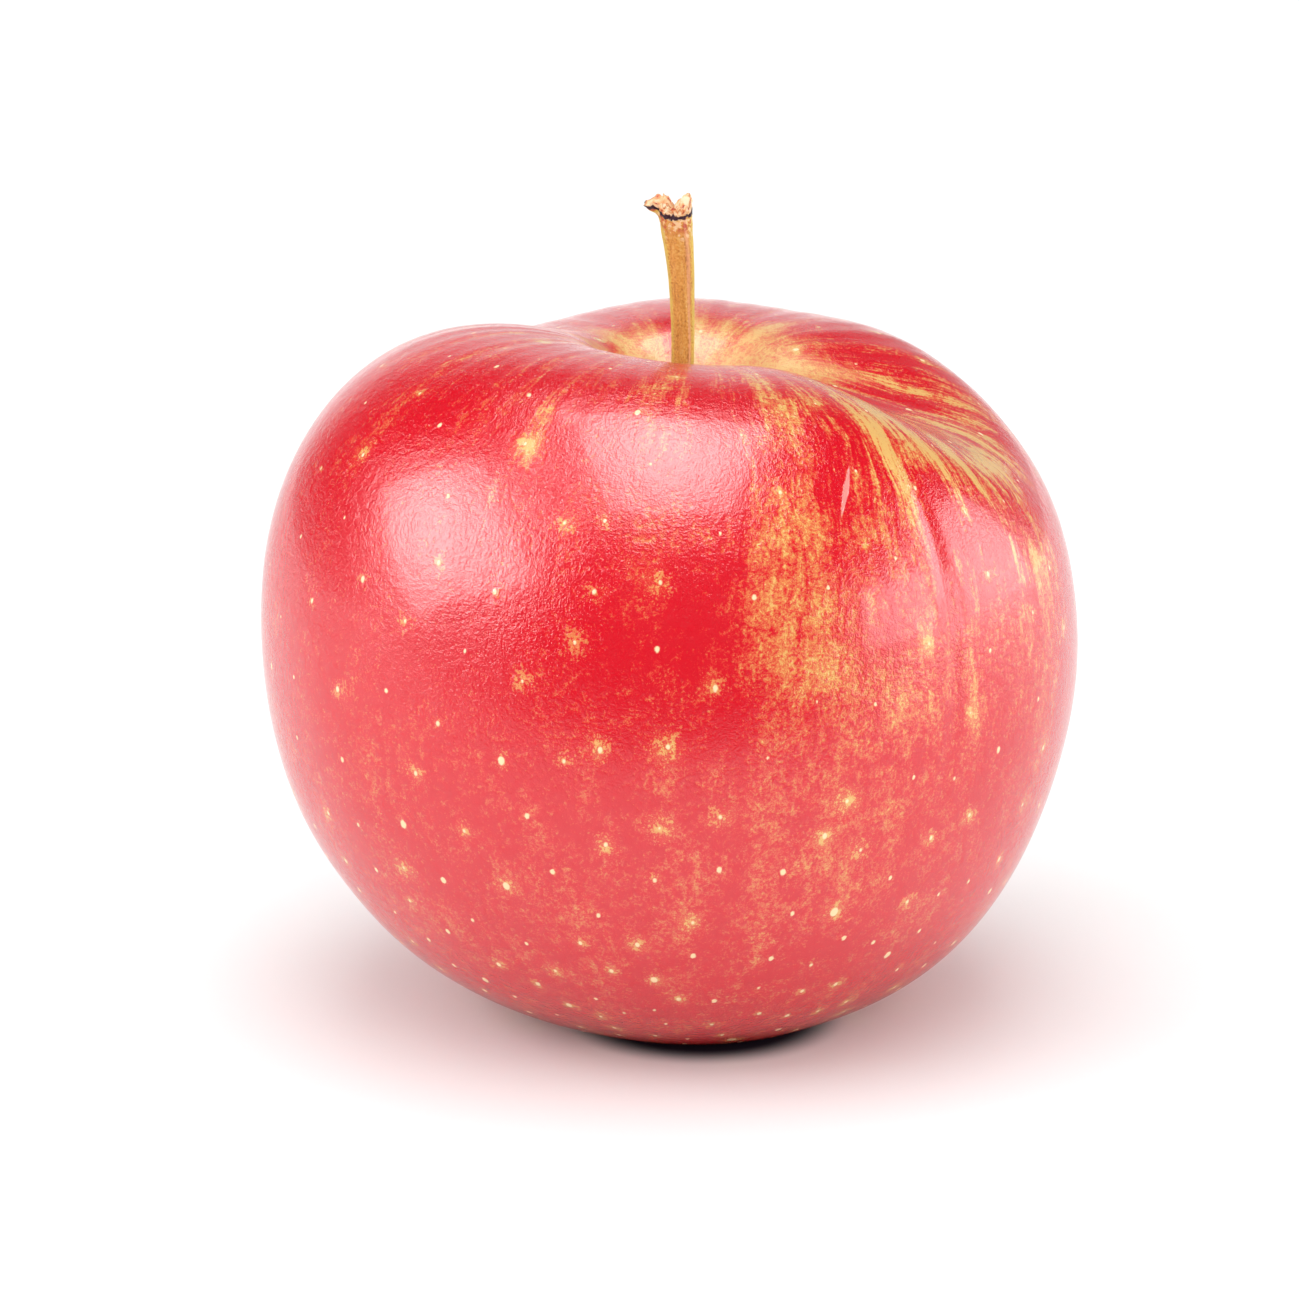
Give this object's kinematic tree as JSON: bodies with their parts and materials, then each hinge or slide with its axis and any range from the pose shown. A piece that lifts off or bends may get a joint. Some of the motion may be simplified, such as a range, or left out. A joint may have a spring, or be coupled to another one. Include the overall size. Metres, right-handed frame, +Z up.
{
  "type": "red apple",
  "caption": "Round dessert apple with an uneven lobed crown, a woody stem in its cavity and a dried flower end underneath; stands on a small flat foot.",
  "frame": {"origin": "middle of the apple's box, on the ground that its foot rests on", "axes": "+Z up along the core towards the stem, -Y towards the side that faces the viewer, +X towards the low shoulder"},
  "size_m": [0.0794, 0.0794, 0.081],
  "materials": {
    "apple_skin": "smooth waxy apple skin, red blush over yellow with pale lenticel dots, satin to glossy",
    "stem_bark": "dry fibrous green-brown stem, matt, torn at its end",
    "dried_sepal": "dry curled sepal with fine down, matt grey-brown",
    "dried_stamen": "dry brown threads, matt"
  },
  "bodies": {
    "root": {"fruit": "apple_skin", "stem": "stem_bark", "sepal_1": "dried_sepal", "sepal_2": "dried_sepal", "sepal_3": "dried_sepal", "sepal_4": "dried_sepal", "sepal_5": "dried_sepal", "stamen_tuft": "dried_stamen"}
  },
  "joints": []
}
